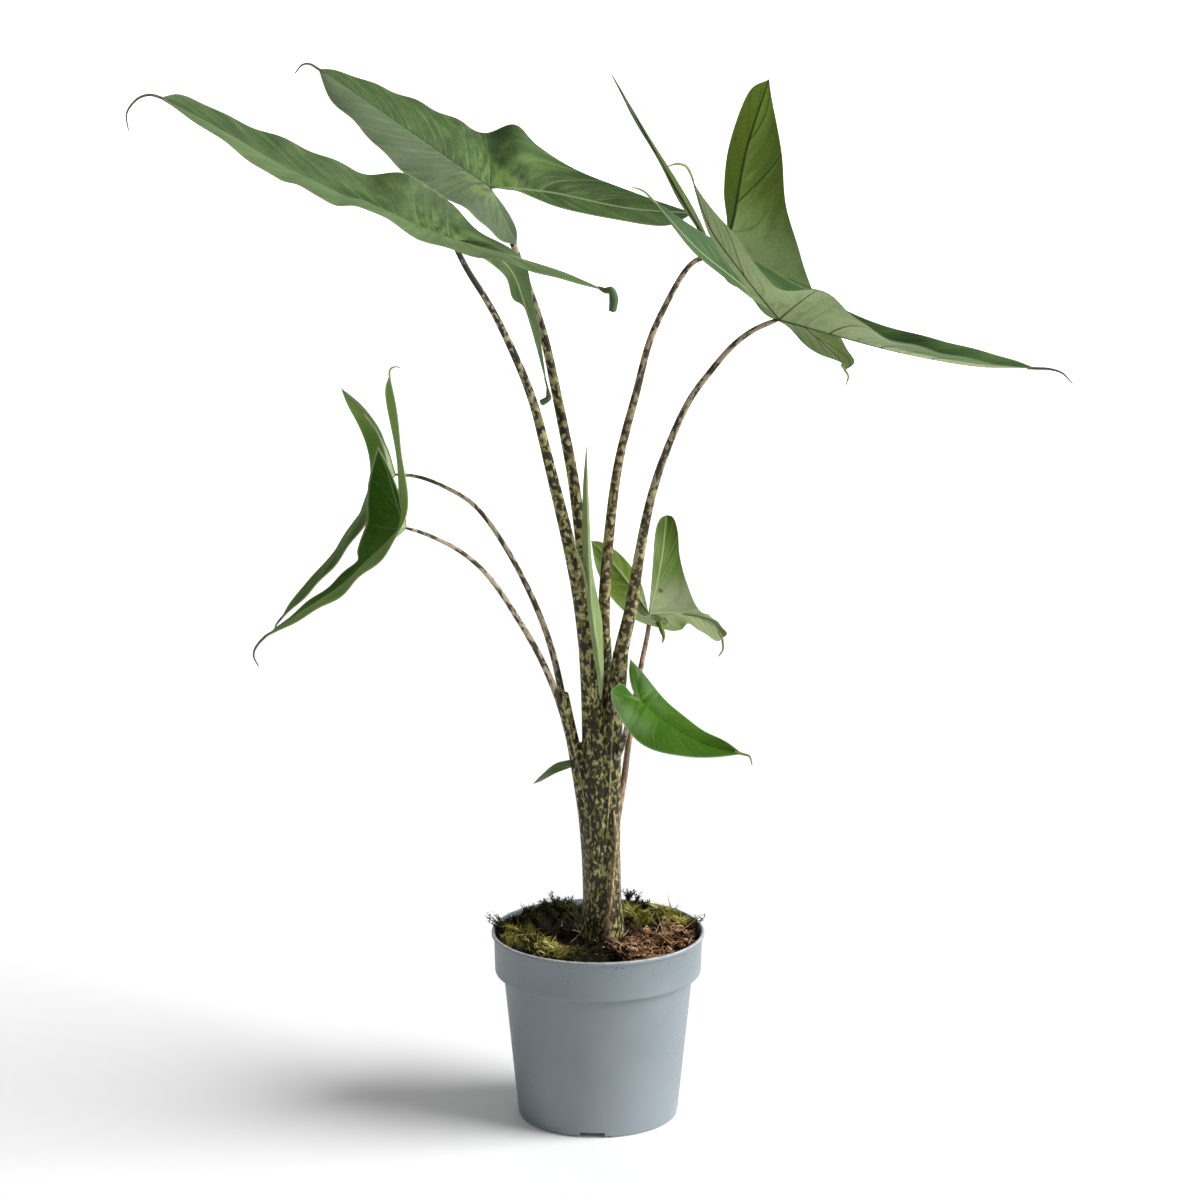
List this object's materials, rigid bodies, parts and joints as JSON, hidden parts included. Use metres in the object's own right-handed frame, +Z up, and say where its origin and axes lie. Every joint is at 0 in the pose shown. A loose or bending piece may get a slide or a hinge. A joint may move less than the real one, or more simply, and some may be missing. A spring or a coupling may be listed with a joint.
{
  "type": "potted tigrina superba alocasia",
  "caption": "Tall potted aroid house plant with arrow-shaped green leaves on mottled stalks that rise from one sheathed stem, in a matt grey-blue tapered plastic nursery pot with soil and moss.",
  "frame": {"origin": "middle of the pot's base, on the surface that the pot stands on", "axes": "+Z up along the pot's axis and the stem, -Y the front as the picture shows it, +X the plant's right"},
  "size_m": [0.7775, 0.294, 0.9321],
  "materials": {
    "pot": "matt grey-blue moulded polypropylene with light scuffs",
    "soil": null,
    "moss": null,
    "coir": "reddish-brown loose coconut fibre",
    "stem": null,
    "petiole": "fleshy stalk with irregular dark brown cross bands on pale olive",
    "leaf": "semi-gloss mid green with paler veins, grey-green below",
    "leaf_pale": "pale grey-green underside with green lobes",
    "leaf_bright": "glossy bright green",
    "leaf_young": "satin light green"
  },
  "bodies": {
    "root": {"pot": "pot", "pseudostem": "stem", "soil": "soil", "moss_left": "moss", "moss_back": "moss", "coir_fibre": "coir", "leaf_upper_left_front": "leaf", "leaf_upper_left_back": "leaf", "leaf_upper_right_back": "leaf", "leaf_upper_right_front": "leaf", "leaf_left_front": "leaf", "leaf_left_back": "leaf", "leaf_right_middle": "leaf_pale", "leaf_front_small": "leaf_bright", "petiole_upper_left_front": "petiole", "petiole_upper_left_back": "petiole", "petiole_upper_right_back": "petiole", "petiole_upper_right_front": "petiole", "petiole_left_back": "petiole", "petiole_left_front": "petiole", "petiole_right_middle": "petiole", "petiole_front_small": "petiole", "young_leaf": "leaf_young", "scale_leaf": "leaf"}
  },
  "joints": []
}
